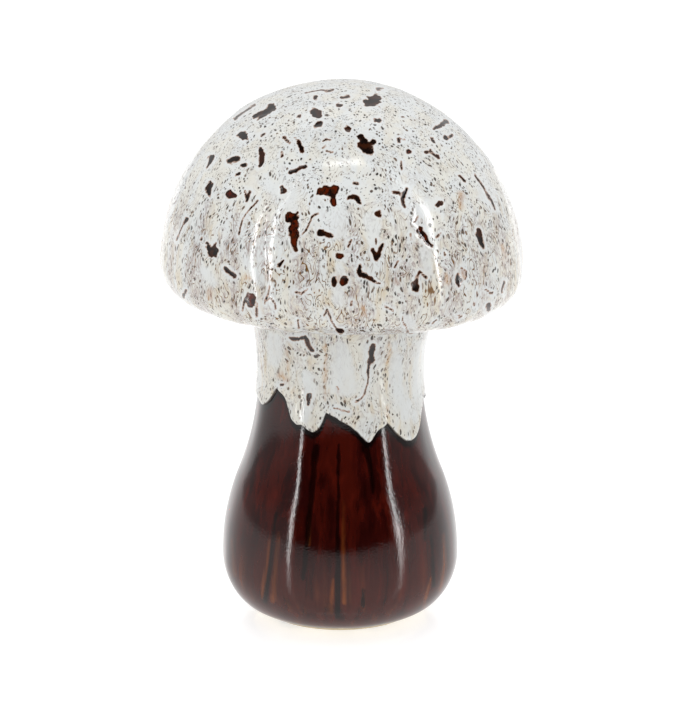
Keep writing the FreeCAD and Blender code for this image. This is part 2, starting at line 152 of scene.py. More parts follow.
# Openings of the white glaze that show dark glass: the radius at the start and the end of each
# stroke, then its points, all in pixels of the photograph
DARK_STROKES_PX = (
    (1, 0.8, 305, 94, 318, 91, 332, 88), (2.7, 2.7, 256, 117, 272, 107),
    (1.3, 1.3, 235, 119, 245, 112, 255, 106), (4, 4, 313, 112, 317, 115),
    (2, 2, 316, 98, 317, 98), (1.5, 1.5, 342, 96.5, 348, 95.5), (2, 2, 337.5, 104.5, 341, 105),
    (1.6, 1.6, 297.5, 116, 299.5, 116), (2.8, 2.6, 315.5, 125.5, 319, 124.5),
    (3.8, 3.8, 347.5, 128.8, 348.5, 128.8), (4.1, 1, 243, 136, 236, 135.5),
    (1.6, 1, 262, 135.5, 266, 133), (1.2, 2.3, 295.5, 139, 298, 143, 301.5, 149.5),
    (1.6, 1.2, 285, 138, 289, 144), (1.6, 1.6, 281.2, 152, 282, 155.5),
    (3, 1.8, 259.8, 150.5, 261.5, 155, 259.3, 164.5), (1.9, 1.9, 229, 161.5, 238, 157),
    (2.3, 2.3, 243, 163.5, 245, 163), (2, 2, 237, 174.5, 240, 174),
    (2.7, 1, 211, 156.5, 206.5, 167), (2.9, 2.6, 208.8, 183, 209, 193.5),
    (1, 1, 244, 190, 245.5, 199), (1.4, 1, 245.5, 200, 249.5, 192),
    (1.7, 2.3, 290, 171, 298, 169, 305, 168), (1.6, 2.9, 281.5, 186.5, 284, 191),
    (0.7, 0.7, 324, 142, 327, 140.5, 331, 142), (0.7, 0.7, 323, 149, 326, 146),
    (0.7, 0.7, 327, 150, 334, 151.5), (3.8, 4.6, 366, 101.5, 377.5, 99.5),
    (0.8, 0.8, 376.5, 89.5, 383, 88.5), (1.5, 1.5, 374, 119.5, 379.5, 119),
    (4.1, 4.1, 361.5, 138, 366, 146), (3.6, 3.6, 366, 146, 373, 142),
    (3, 4.1, 359.5, 146, 370, 153.5), (1, 1, 402.5, 116, 403.5, 116),
    (2.2, 2.2, 398.5, 138.7, 399, 140.7), (1, 1, 404.8, 138.4, 405, 139),
    (1.8, 1.2, 425, 154, 432, 153), (1, 1, 430, 150, 432, 154), (1, 1.4, 432, 154, 438, 157),
    (2, 2, 433.8, 137.5, 434.2, 141), (2.3, 1.5, 446.5, 138, 451, 135.5),
    (1.4, 1.4, 435, 126.6, 437.5, 126.2), (2.3, 1.8, 440, 124.5, 446.5, 121.5),
    (0.7, 0.7, 401, 162, 402, 171), (1.5, 2.9, 349.5, 198, 356, 197.5, 360, 201),
    (1.4, 1.4, 354.5, 185, 358, 185), (3.7, 3.7, 379, 213.8, 379.8, 213.8),
    (1.8, 1.2, 393, 192, 400, 194), (0.8, 0.8, 400, 194, 402, 198),
    (1.8, 1.8, 406, 190, 403, 198), (1.8, 1.6, 402.3, 197, 404, 206.5),
    (2.9, 2.9, 438.5, 204, 440, 204), (1.4, 1.2, 458, 175.5, 464.5, 180.5),
    (0.9, 0.9, 475.7, 175, 485, 189, 495, 207.5), (0.9, 0.9, 414, 222, 417, 216),
    (0.8, 0.8, 319.4, 215, 312.7, 218, 308, 225, 303, 234.5), (3.9, 1.5, 321, 232, 333, 235),
    (5.4, 5, 211.5, 250, 213, 251), (1.5, 1, 209, 247, 206.5, 243.5),
    (1.5, 1, 214, 246, 215.5, 243), (1.5, 1.5, 200, 236.5, 200.3, 238.8),
    (1, 1, 185.5, 218, 181, 229, 176, 239),
    (0.8, 0.8, 257, 201, 250, 208, 245, 216, 241, 226, 239, 235),
    (2.2, 2, 226, 268.5, 234, 277), (2.5, 1, 279, 265, 284, 260),
    (2.9, 2.9, 334, 278, 334, 283.5), (1, 0.8, 247.5, 296, 245.5, 303, 244, 310),
    (0.9, 0.7, 269, 285, 267.5, 294, 265.5, 303), (0.7, 0.7, 258, 303, 258, 316),
    (0.7, 0.7, 268, 299, 271, 297, 274, 302, 276, 308), (1, 1, 296, 292, 301, 294, 307, 289),
    (0.9, 0.9, 324, 317, 328, 309, 332, 321, 336, 328), (1.5, 3.8, 337, 329, 341, 331),
    (0.9, 0.9, 299, 319.5, 299, 322.5), (0.9, 0.9, 299, 324.5, 299, 326.5),
    (1.1, 1, 186.5, 289, 184.5, 297), (1.8, 3.3, 371.5, 249, 376, 257),
    (3.3, 1, 376.4, 257, 380, 251, 383.6, 244), (0.9, 2.4, 360.6, 265, 360.6, 273),
    (2.4, 1, 361, 274.5, 367, 277, 372.7, 280.6, 380, 283), (2.8, 2.5, 426, 240, 431.5, 246),
    (1.2, 0.8, 438, 237, 441, 233.5), (2.9, 1.6, 414.5, 288, 417, 279),
    (1.2, 1.5, 417.5, 276, 420, 272.8, 425, 278), (1, 3.1, 457, 274, 457, 281),
    (3.1, 1, 457, 281, 457.3, 287), (0.8, 0.8, 462, 268.5, 465.5, 271, 466.5, 276, 465, 279),
    (3.1, 2.6, 478.5, 232, 480, 238), (2.6, 1.6, 480, 238, 483, 248),
    (1.6, 1.2, 504.3, 281, 503.5, 293), (2, 2, 488, 305, 489, 309.5),
    (1, 1, 472, 301, 474, 305),
    (0.8, 0.7, 402.4, 315, 403, 321, 405, 329, 409, 333, 415, 333.3),
    (0.8, 0.8, 433, 323, 436, 319), (0.9, 0.9, 486, 289, 489.5, 292.5, 492.5, 291),
    (0.8, 0.8, 476.5, 291, 476, 297), (0.9, 0.9, 457, 314, 459, 317, 461, 315.5),
    (0.8, 0.8, 352, 300, 350.5, 304), (0.9, 0.9, 386, 306, 392, 308.5),
    (0.8, 0.8, 398, 262, 395.5, 268), (0.8, 0.8, 350, 241, 348, 247),
    (0.7, 0.7, 376, 239, 376.5, 244), (0.8, 0.8, 410, 233, 411, 239),
    (1, 1, 444, 254, 445, 257), (0.9, 1.9, 289, 336.5, 300, 339.5),
    (1.9, 1.6, 300, 339.5, 306.5, 338.5), (1.6, 2.1, 306.5, 338.5, 309, 345, 312.5, 350),
    (2.6, 2.9, 372.5, 345, 370.5, 359), (1.9, 0.7, 369.5, 359, 367.5, 369, 366, 384),
    (0.5, 0.5, 366, 384, 364, 393, 361, 398), (0.5, 1.1, 361, 398, 356, 402),
    (2.4, 1.6, 308.7, 395.5, 308.5, 404), (1.4, 1.4, 280, 383.5, 282.5, 384),
    (0.4, 0.4, 333, 408.5, 341, 411.5, 350, 411), (0.5, 0.5, 337, 387, 338, 391),
)
# The same, where the glass shows red-brown
RUST_STROKES_PX = (
    (4.3, 4.3, 321.5, 192, 334, 190.5), (4.3, 3, 333, 191, 333.5, 202),
    (2.4, 2.4, 407.8, 151.8, 408.3, 152.3), (3.4, 3.4, 229.8, 195.5, 231.8, 195),
    (6.2, 5, 292.5, 218, 294, 230), (5, 2.2, 294, 230, 296, 249),
    (2.6, 2.6, 339, 256, 342.5, 256), (3.5, 3.3, 345, 279, 344.3, 283.5),
    (4.6, 3.3, 251, 297, 253, 304), (3.6, 2.8, 420.5, 230, 426, 240),
)
# Soft amber or pink stains without dark glass
STAIN_STROKES_PX = (
    (2.6, 2.6, 339, 277, 339, 281), (3.4, 3.4, 462, 273, 463, 276),
    (2.8, 2.8, 445.5, 276, 445.5, 282), (2.2, 2.2, 503.5, 246, 504, 258),
    (2.4, 2.4, 363, 304, 363, 314), (3, 3, 395, 281, 397, 283), (3.6, 3, 461, 195, 462, 207),
    (3.2, 3.2, 246, 276, 248, 276), (3.4, 3, 211, 290, 212, 296), (1, 1, 337, 388, 337.5, 393),
    (1, 1, 287, 350, 288, 372), (1, 1.2, 325, 345, 326, 400), (1.6, 1.2, 388, 345, 386.5, 364),
    (2.6, 2.6, 281, 374, 286, 380), (1, 0.8, 386, 405, 390, 418),
)
# Smooth pools of clean cool white, without specks
POOL_STROKES_PX = (
    (10, 13, 342, 352, 343, 385), (6, 6, 274, 340, 276, 358),
    (4, 7, 393, 344, 397, 372, 404, 415), (5, 4, 308, 376, 311, 390, 306, 418),
    (4, 3, 416, 344, 417, 380, 414, 420), (7, 5, 292, 196, 293, 255),
    (8, 6, 336, 212, 340, 232), (8, 5, 371, 222, 376, 262), (7, 5, 424, 250, 428, 272),
    (7, 6, 366, 144, 366, 150), (5, 5, 270, 187, 286, 190), (7, 6, 420, 210, 436, 203),
    (6, 4, 247, 262, 262, 282), (6, 5, 340, 268, 340, 300), (5, 4, 207, 272, 214, 284),
    (5, 4, 408, 318, 412, 326),
)
# Dark and amber veins of the brown glaze
DARK_VEINS_PX = (
    (0.8, 2.6, 338.5, 445, 337.8, 530, 337.5, 616),
    (3, 2, 316, 447, 312, 490, 307, 540, 303, 578), (0.8, 2, 276, 513, 271, 560, 265, 601),
    (1.2, 2, 431, 535, 433, 560, 434, 585), (3.6, 1.4, 366, 447, 371, 470, 373, 492),
    (2, 1.2, 425, 510, 425, 540), (1.2, 1.6, 363, 590, 363, 606),
)
AMBER_VEINS_PX = (
    (0.4, 2, 343, 500, 343.3, 550, 344, 602), (0.6, 1.8, 333, 580, 331, 612),
    (0.6, 2, 269.5, 540, 266, 570, 263, 598), (0.8, 1.8, 279, 532, 276, 560, 273, 600),
    (0.6, 1.8, 443, 535, 444.5, 565, 440, 590), (0.6, 1.2, 431, 578, 424, 606),
    (0.4, 0.9, 232, 540, 234, 575), (0.4, 0.9, 310, 500, 309, 545),
)
# How far a stroke reaches, and how squarely a point faces the camera that sees it
FAR = 9.0
FACING_LEAST = 0.05

# What the unseen sides get instead, with a step in degrees from pool to pool
HIDDEN_BLOTCHES = 130
HIDDEN_VEINS = 16
HIDDEN_POOL_STEP = 14
SEED = 7

# Noise
HASH_FACTORS = (374761393, 668265263, 2147483647)
HASH_SEED_FACTOR = 1274126177
HASH_ROUNDS = ((13, 1103515245), (16, 2654435761), (15, 1))
HASH_MASK = 0xFFFFFF
NOISE_OFFSET = 1000.0


# Colours


def paint(code):
    """A hex colour as the shader's linear one."""
    parts = [int(code[k : k + 2], 16) / 255 for k in (0, 2, 4)]
    linear = [c / 12.92 if c <= 0.04045 else ((c + 0.055) / 1.055) ** 2.4 for c in parts]
    return (*linear, 1.0)


# Outline


def arc_rows(centre, radius, start, end, spacing, sign):
    """Rows along an arc, in degrees, each a place, a level and a direction out of the clay."""
    count = max(2, round(abs(math.radians(end - start)) * radius / spacing))
    angles = np.radians(np.linspace(start, end, count + 1))
    across, up = np.cos(angles), np.sin(angles)
    return np.column_stack([
        centre[0] + radius * across, centre[1] + radius * up, sign * across, sign * up
    ])


def bend(width, height):
    """Radius of an arc that starts upright and strays by width over that height."""
    return (width * width + height * height) / (2 * width)


def around(place, turn, level):
    """Points so far from the axis, at those angles and levels."""
    return np.column_stack([place * np.sin(turn), -place * np.cos(turn), level])


RIM_CENTRE = (CAP_RADIUS - CAP_RIM_RADIUS, CAP_LEVEL)
UNDERSIDE = CAP_LEVEL - CAP_RIM_RADIUS
FLARE_CENTRE = (NECK_RADIUS + FLARE_RADIUS, NECK_LEVEL)
SEAM_REACH = FLARE_RADIUS - SEAM_RADIUS
SEAM_RISE = UNDERSIDE - SEAM_RADIUS - NECK_LEVEL
SEAM_CENTRE = (FLARE_CENTRE[0] - math.sqrt(SEAM_REACH**2 - SEAM_RISE**2), NECK_LEVEL + SEAM_RISE)
SEAM_ANGLE = math.degrees(math.atan2(SEAM_RISE, SEAM_CENTRE[0] - FLARE_CENTRE[0]))
SEAM_LOW = NECK_LEVEL + SEAM_RISE * FLARE_RADIUS / SEAM_REACH
BOTH_RADII = bend(BELLY_RADIUS - NECK_RADIUS, NECK_LEVEL - BELLY_LEVEL)
WAIST_RADIUS = BOTH_RADII - BELLY_ARC_RADIUS
WAIST_CENTRE = (NECK_RADIUS + WAIST_RADIUS, NECK_LEVEL)
BEND_LEVEL = BELLY_LEVEL + (NECK_LEVEL - BELLY_LEVEL) * BELLY_ARC_RADIUS / BOTH_RADII
BELLY_CENTRE = (BELLY_RADIUS - BELLY_ARC_RADIUS, BELLY_LEVEL)
HEEL_RADIUS = bend(BELLY_RADIUS - FOOT_RADIUS, BELLY_LEVEL - BASE - FOOT_BEVEL)
HEEL_CENTRE = (BELLY_RADIUS - HEEL_RADIUS, BELLY_LEVEL)
LINE_LEVEL = BASE + BARE_FOOT_HEIGHT


def cap_rows(spacing):
    """Rows from beside the crown over the rim and under the cap to the top of the neck."""
    dome = arc_rows((0, CAP_LEVEL), CAP_RADIUS, 90, 0, spacing, 1)[1:]
    rim = arc_rows(RIM_CENTRE, CAP_RIM_RADIUS, 0, -90, spacing, 1)[1:]
    reach = RIM_CENTRE[0] - SEAM_CENTRE[0]
    count = max(2, round(reach / spacing))
    places = RIM_CENTRE[0] - reach * np.arange(1, count + 1) / count
    under = np.column_stack([places, np.full(count, UNDERSIDE), np.zeros(count), -np.ones(count)])
    seam = arc_rows(SEAM_CENTRE, SEAM_RADIUS, 90, SEAM_ANGLE, spacing, -1)[1:]
    return np.vstack([dome, rim, under, seam])


def stem_at(level):
    """At those levels, places on the stem's side and the directions out of the clay."""
    arcs = (
        (level > -math.inf, FLARE_CENTRE, FLARE_RADIUS, -1),
        (level < NECK_LEVEL, WAIST_CENTRE, WAIST_RADIUS, -1),
        (level < BEND_LEVEL, BELLY_CENTRE, BELLY_ARC_RADIUS, 1),
        (level < BELLY_LEVEL, HEEL_CENTRE, HEEL_RADIUS, 1),
    )
    place, out, up = (np.zeros_like(level) for _ in range(3))
    for where, centre, radius, sign in arcs:
        rise = level - centre[1]
        across = np.sqrt(np.maximum(radius**2 - rise**2, 0))
        place = np.where(where, centre[0] + sign * across, place)
        out = np.where(where, across / radius, out)
        up = np.where(where, sign * rise / radius, up)
    return place, out, up


# Noise


def hashed(cells, seed):
    """A steady pseudo-random number from 0 to 1 for each cell of a lattice."""
    mixed = cells.astype(np.uint64) @ np.array(HASH_FACTORS, dtype=np.uint64)
    mixed = mixed + np.uint64(seed * HASH_SEED_FACTOR)
    for shift, factor in HASH_ROUNDS:
        mixed = (mixed ^ (mixed >> np.uint64(shift))) * np.uint64(factor)
    return (mixed & np.uint64(HASH_MASK)) / float(HASH_MASK)


def smooth_noise(points, scale, seed):
    """Value noise from -1 to 1 whose lumps are about that many millimetres across."""
    at = points / scale + NOISE_OFFSET
    low = np.floor(at)
    t = at - low
    t = t * t * t * (t * (t * 6 - 15) + 10)
    total = np.zeros(points.shape[:-1])
    for corner in np.ndindex(2, 2, 2):
        step = np.array(corner)
        share = np.prod(np.where(step, t, 1 - t), axis=-1)
        total += share * hashed(low + step, seed)
    return total * 2 - 1


def layered(points, *layers):
    """Layers of noise, added up."""
    return sum(
        height * smooth_noise(points * [1, 1, squash], across, seed)
        for height, across, squash, seed in layers
    )


def eased(value, low, high):
    """0 at low, 1 at high, and smooth between."""
    t = np.clip((value - low) / (high - low), 0, 1)
    return t * t * (3 - 2 * t)


# Meshes


def column_angles(count):
    """Angles of the columns from the front, with those at the front closer together."""
    t = np.arange(count) * (2 * math.pi / count)
    return t - FRONT_CLOSENESS * np.sin(t)


def columns_for(place):
    """Half as many columns each time that a row is half as wide."""
    count = COLUMNS
    while count > FEWEST_COLUMNS and place < HALVING_SHARE * CAP_RADIUS * count / COLUMNS:
        count //= 2
    return count


class Net:
    """Rings of points one under the other, each with the directions out of the clay."""

    def __init__(self):
        self.counts, self.turns, self.points, self.outs = [], [], [], []

    def ring(self, count, place, level, out, up):
        turn = column_angles(count)
        self.counts.append(count)
        self.turns.append(turn)
        self.points.append(around(place, turn, np.broadcast_to(level, count)))
        self.outs.append(around(out, turn, np.broadcast_to(up, count)))

    def stem_ring(self, count, level):
        """A ring round the stem, whose level may differ from column to column."""
        place, out, up = stem_at(level)
        self.ring(count, place, level, out, up)

    def crown(self):
        self.ring(1, 0, CAP_LEVEL + CAP_RADIUS, 0, 1)

    def finish(self):
        self.turn = np.concatenate(self.turns)
        self.clay = np.vstack(self.points).astype(float)
        self.out = np.vstack(self.outs).astype(float)
        return self

    def faces(self, closed=False):
        """Faces from ring to ring, and from the last ring to the first where it is closed."""
        starts = np.concatenate([[0], np.cumsum(self.counts)])[:-1]
        rings = list(zip(starts.tolist(), self.counts))
        following = rings[1:] + rings[:1] if closed else rings[1:]
        found = []
        for first, second in zip(rings, following):
            found += stitch(*first, *second)
        return found


def stitch(first, first_count, second, second_count):
    """Faces between two rings, where one has a whole number of columns to the other's one."""
    if first_count == 1:
        return [[first, second + j, second + (j + 1) % second_count] for j in range(second_count)]
    if second_count == 1:
        return [[second, first + (j + 1) % first_count, first + j] for j in range(first_count)]
    faces = []
    if first_count <= second_count:
        ratio = second_count // first_count
        for j in range(first_count):
            far = [second + (j * ratio + k) % second_count for k in range(ratio + 1)]
            faces.append([first + (j + 1) % first_count, first + j] + far)
    else:
        ratio = first_count // second_count
        for j in range(second_count):
            near = [first + (j * ratio + k) % first_count for k in range(ratio, -1, -1)]
            faces.append(near + [second + j, second + (j + 1) % second_count])
    return faces


def new_object(name, data):
    thing = bpy.data.objects.new(name, data)
    bpy.context.scene.collection.objects.link(thing)
    return thing


def make_piece(name, points, faces, material, replaced, values):
    """A piece of the body from points in millimetres, with values for its material to read."""
    mesh = bpy.data.meshes.new(name)
    mesh.from_pydata((points * MM).tolist(), [], faces)
    for key, numbers in values.items():
        attribute = mesh.attributes.new(key, "FLOAT", "POINT")
        attribute.data.foreach_set("value", np.asarray(numbers, dtype=np.float32))
    mesh.polygons.foreach_set("use_smooth", [True] * len(mesh.polygons))
    mesh.materials.append(material)
    mesh.update()
    piece = new_object(name, mesh)
    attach(piece, "root")
    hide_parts(*replaced)


# Camera


class View:
    """The camera at the photograph's viewing angle."""

    def __init__(self):
        tilt = math.radians(CAMERA_ELEVATION)
        self.right = np.array([1, 0, 0])
        self.back = np.array([0.0, -math.cos(tilt), math.sin(tilt)])
        self.up = np.cross(self.back, self.right)
        self.target = np.array([(PHOTO_WIDTH_PX / 2 - AXIS_PX) / PX_PER_MM, 0, AIM_LEVEL])
        self.place = self.target + self.back * CAMERA_DISTANCE

    def make_camera(self):
        data = bpy.data.cameras.new("camera")
        data.sensor_width = SENSOR
        data.lens = PX_PER_MM * CAMERA_DISTANCE * SENSOR / PHOTO_HEIGHT_PX
        data.clip_start = 0.05
        data.clip_end = 50
        camera = new_object("camera", data)
        bpy.context.scene.camera = camera
        camera.location = Vector(self.place) * MM
        camera.rotation_euler = Vector(-self.back).to_track_quat("-Z", "Y").to_euler()

    def pixels(self, points):
        """Where points in millimetres fall in the photograph."""
        arm = points - self.target
        scale = PX_PER_MM * CAMERA_DISTANCE / (CAMERA_DISTANCE - arm @ self.back)
        x = PHOTO_WIDTH_PX / 2 + arm @ self.right * scale
        y = PHOTO_HEIGHT_PX / 2 - arm @ self.up * scale
        return np.column_stack([x, y])

    def facing(self, points, outs):
        """How squarely each point faces the camera, below 0 where it faces away."""
        arm = self.place - points
        return np.sum(arm * outs, axis=1) / np.linalg.norm(arm, axis=1)


# Strokes


class Nearest:
    """Distance of points from the nearest of many strokes, and that stroke's radius there."""

    def __init__(self, seen_rows, pixels, seen, hidden_strokes, points):
        self.gap = np.full(len(points), FAR)
        self.size = np.zeros(len(points))
        drawn = [(row[:2], np.array(row[2:], dtype=float).reshape(-1, 2)) for row in seen_rows]
        self.add_all(drawn, pixels, seen, PX_PER_MM)
        self.add_all(hidden_strokes, points, True, 1.0)

    def add_all(self, strokes, places, allowed, unit):
        """Strokes, each two radii and a line, in a unit of so many to the millimetre."""
        reach = FAR * unit
        for radii, line in strokes:
            inside = (places > line.min(0) - reach) & (places < line.max(0) + reach)
            chosen = np.flatnonzero(allowed & inside.all(axis=1))
            self.add(chosen, places[chosen], line, radii, unit)

    def add(self, chosen, places, line, radii, unit):
        shares = np.linspace(0, 1, len(line))
        for start, end, low, high in zip(line, line[1:], shares, shares[1:]):
            along = end - start
            t = np.clip((places - start) @ along / max(along @ along, 1e-9), 0, 1)
            radius = radii[0] + (radii[1] - radii[0]) * (low + (high - low) * t)
            gap = np.linalg.norm(places - start - t[:, None] * along, axis=1) - radius
            closer = gap / unit < self.gap[chosen]
            self.gap[chosen[closer]] = gap[closer] / unit
            self.size[chosen[closer]] = radius[closer] / unit


# Glaze relief


def smooth_curve(places, values, at):
    """A smooth curve through the values, read at those places."""
    slopes = np.gradient(values, places)
    k = np.clip(np.searchsorted(places, at, side="right") - 1, 0, len(places) - 2)
    width = places[k + 1] - places[k]
    t = (at - places[k]) / width
    start = values[k] * (1 + 2 * t) * (1 - t) ** 2 + slopes[k] * width * t * (1 - t) ** 2
    end = values[k + 1] * t**2 * (3 - 2 * t) - slopes[k + 1] * width * t**2 * (1 - t)
    return start + end


def run_edge(turn):
    """Level of the white glaze's lower edge at those angles."""
    share = np.zeros_like(turn)
    notches = [run[0] for run in RUN_EDGE_SHARES]
    notches.append((notches[0][0] + 360, notches[0][1]))
    for run, following in zip(RUN_EDGE_SHARES, notches[1:]):
        places, shares = np.array((*run, following), dtype=float).T
        across = (np.degrees(turn) - places[0]) % 360
        inside = across <= places[-1] - places[0]
        share[inside] = smooth_curve(places - places[0], shares, across[inside])
    round_neck = around(NECK_RADIUS, turn, np.zeros_like(turn))
    return RUN_TOP - RUN_LENGTH * share + layered(round_neck, *EDGE_RAGS)


def stem_relief(turn, level):
    """How far the brown glaze stands out of the clay."""
    round_stem = around(STREAK_RADIUS, turn, level * STREAK_RISE)
    broad = layered(round_stem, STEM_BROAD)
    ridges = -np.cos((turn - math.radians(STEM_VALLEY)) * STEM_RIDGES + 0.5 * broad)
    fade = eased(level, *STEM_FADE)
    relief = STEM_RIDGE_HEIGHT * ridges + 0.16 * broad + layered(round_stem, STEM_FINE)
    return np.maximum(BROWN + 0.3 + relief * (0.25 + 0.75 * fade), 0.15)


def coat_height(above):
    """Thickness of the white glaze at that height over its lower edge."""
    lip = EDGE_ROLL * np.sqrt(1 - (1 - np.clip(above / EDGE_WIDTH, 0, 1)) ** 2)
    settled = WHITE + (EDGE_ROLL - WHITE) * (1 - eased(above, EDGE_WIDTH, SETTLED_HEIGHT))
    return np.where(above < EDGE_WIDTH, lip, settled)


def cap_relief(turn, points):
    """How far the cap's white glaze stands out over its usual height, and how deep in a groove."""
    degrees = np.degrees(turn) % 360
    valleys = np.sort(np.array(CAP_VALLEYS) % 360)
    degrees = (degrees + layered(points, CAP_WANDER)) % 360
    place = np.searchsorted(valleys, degrees)
    low = valleys[place - 1] - 360 * (place == 0)
    high = valleys[place % len(valleys)] + 360 * (place == len(valleys))
    bulge = np.sin(math.pi * (degrees - low) / (high - low)) ** 0.7
    lower = eased(CAP_LEVEL + CAP_RADIUS - points[:, 2], *CAP_RUNS_BELOW_CROWN)
    strength = 0.35 + 0.65 * (0.5 + layered(points, CAP_STRENGTH))
    runs = CAP_RUN_DEPTH * (bulge - 0.6) * lower * strength
    return runs + layered(points, *CAP_LUMPS), (1 - bulge) * lower


# Pieces


def white_net():
    """The white glaze's net, the number of its points on the cap, and heights on the neck.

    The rings go from the crown to the lower edge and back up behind the glaze. The heights are
    how far the points of the neck's outer side lie over the lower edge.
    """
    net = Net()
    net.crown()
    for place, level, out, up in cap_rows(ROW):
        count = columns_for(place) if level > CAP_LEVEL else COLUMNS
        net.ring(count, place, level, out, up)
    cap_count = sum(net.counts)

    turn = column_angles(COLUMNS)
    edge = run_edge(turn)
    slope = np.gradient(np.append(edge, edge[0]), np.append(turn, turn[0] + 2 * math.pi))[:-1]
    stretch = np.minimum(np.hypot(1, slope / NECK_RADIUS), 2.2)
    rows = round((SEAM_LOW - RUN_TOP + RUN_LENGTH / 2) / ROW)
    levels = []
    for share in np.arange(1, rows) / rows:
        levels.append(edge + (SEAM_LOW - edge) * (1 - share) + EDGE_ZONE * stretch * share)
    for height in EDGE_ROWS:
        levels.append(edge + height * stretch)
    for level in levels:
        net.stem_ring(COLUMNS, level)

    inner_edge = run_edge(column_angles(INNER_COLUMNS))
    for share in (0.03, 0.3, 0.65):
        net.stem_ring(INNER_COLUMNS, inner_edge + (SEAM_LOW - inner_edge) * share)
    for place, level, out, up in cap_rows(INNER_ROW)[::-1]:
        net.ring(min(INNER_COLUMNS, columns_for(place)), place, level, out, up)
    net.crown()
    return net.finish(), cap_count, np.concatenate([(level - edge) / stretch for level in levels])


def cap_height(turn, points):
    """How far the cap's white glaze stands out of the clay, and how deep in a groove it is."""
    relief, groove = cap_relief(turn, points)
    across = np.hypot(points[:, 0], points[:, 1])
    fade = eased(across, *UNDERSIDE_FADE)
    return BROWN + WHITE + relief * np.where(points[:, 2] > CAP_LEVEL, 1, fade), groove


def neck_height(turn, points, over_edge):
    """How far the neck's white glaze stands out of the clay."""
    level = points[:, 2]
    brown = stem_relief(turn, level)
    height = brown + coat_height(over_edge) + layered(points, NECK_LUMPS)
    near_top = eased(level, SEAM_LOW - NECK_FADE_HEIGHT, SEAM_LOW)
    height = height * (1 - near_top) + (BROWN + WHITE) * near_top
    return np.where(over_edge < 0.02, brown - 0.05, height)


def make_white_coat(view, material):
    """The white glaze from the crown to its runs on the neck, closed by its inner side."""
    net, cap_count, over_edge = white_net()
    outer_count = cap_count + len(over_edge)
    cap, neck = slice(0, cap_count), slice(cap_count, outer_count)
    outside = np.arange(len(net.clay)) < outer_count
    height = np.full(len(net.clay), LEAST_COAT / 2)
    groove, edge = np.zeros_like(height), np.full_like(height, FAR)
    edge[neck] = over_edge
    height[cap], groove[cap] = cap_height(net.turn[cap], net.clay[cap])
    height[neck] = neck_height(net.turn[neck], net.clay[neck], over_edge)
    values = make_blotches(net, view, outside)
    height -= OPENING_DIP * (1 - eased(values["blotch"], -1.0, 0.5)) * (height > 1)
    values.update(edge=edge, groove=groove)
    points = net.clay + net.out * height[:, None]
    points[outside] = keep_outside(leaned(points[outside]))
    faces = net.faces()
    make_piece("white_glaze_coat", points, faces, material, ["white_glaze"], values)


def leaned(points):
    """The cap's coat a little to the right and lower on that side, as photographed."""
    side = points[:, 0] / CAP_RADIUS
    share = eased(points[:, 2], NECK_LEVEL, UNDERSIDE)
    droop = CAP_DROOP * np.maximum(side, 0) ** 2 * eased(points[:, 2], *CAP_DROOP_LEVELS)
    across = CAP_SHIFT * share
    down = (CAP_TILT * side + droop) * share
    return points + np.column_stack([across, np.zeros_like(across), -down])


def keep_outside(points):
    """Points of the cap's coat pushed out where the clay would show through."""
    across = np.hypot(points[:, 0], points[:, 1])
    on_dome = points[:, 2] > CAP_LEVEL
    on_rim = ~on_dome & (across > RIM_CENTRE[0])
    under = ~on_dome & ~on_rim & (across > SEAM_CENTRE[0])
    centre = np.where(on_dome, 0, RIM_CENTRE[0])
    radius = np.where(on_dome, CAP_RADIUS, CAP_RIM_RADIUS) + LEAST_COAT
    arm = np.column_stack([across - centre, points[:, 2] - CAP_LEVEL])
    length = np.maximum(np.linalg.norm(arm, axis=1), 1e-6)
    grown = np.where((on_dome | on_rim) & (length < radius), radius / length, 1)
    place = centre + arm[:, 0] * grown
    level = CAP_LEVEL + arm[:, 1] * grown
    level = np.where(under, np.minimum(level, UNDERSIDE - LEAST_COAT), level)
    share = place / np.maximum(across, 1e-6)
    return np.column_stack([points[:, 0] * share, points[:, 1] * share, level])


def make_blotches(net, view, outside):
    """How far openings, stains and pools are, and how wide and red the openings are."""
    points = net.clay + net.out * (BROWN + WHITE)
    seen = outside & (view.facing(points, net.out) > FACING_LEAST)
    pixels = view.pixels(leaned(points))
    swerve = [layered(points, SWERVE_ACROSS), layered(points, SWERVE_DOWN)]
    pixels += PX_PER_MM * np.column_stack(swerve)
    tables = (DARK_STROKES_PX, RUST_STROKES_PX, STAIN_STROKES_PX, POOL_STROKES_PX)
    hidden = (*hidden_blotches(points[outside], view), hidden_pools())
    dark, red, stain, pool = (
        Nearest(table, pixels, seen, strokes, points) for table, strokes in zip(tables, hidden)
    )
    redder = red.gap < dark.gap
    return {
        "blotch": np.minimum(dark.gap, red.gap),
        "size": np.where(redder, red.size, dark.size),
        "rust": redder.astype(float),
        "stain": stain.gap,
        "pool": pool.gap,
    }


def hidden_blotches(points, view):
    """Openings and stains of the unseen sides, longer down the slope than across it."""
    rng = np.random.default_rng(SEED)
    candidates = points[points[:, 2] > CAP_LEVEL - 6]
    dark, red, stain = [], [], []
    while len(dark) + len(red) + len(stain) < HIDDEN_BLOTCHES:
        start = candidates[rng.integers(len(candidates))]
        size = 0.3 + 1.6 * rng.random() ** 2.6
        length = size * rng.uniform(0.4, 3.6)
        side = rng.normal(0, 0.35)
        kind = rng.random()
        out = start - np.array([0, 0, CAP_LEVEL])
        out /= np.linalg.norm(out)
        if view.facing(start[None], out[None])[0] > 0.02:
            continue
        across = np.array([-out[1], out[0], 0.0])
        down = np.array([0, 0, -1.0]) + out * out[2]
        down /= max(np.linalg.norm(down), 1e-6)
        middle = start + down * length * 0.5 + across * side * length * 0.4
        line = np.array([start, middle, start + down * length + across * side * length])
        chosen = dark if kind < 0.7 else red if kind < 0.88 else stain
        chosen.append(((size, size * rng.uniform(0.3, 1.0)), line))
    return dark, red, stain


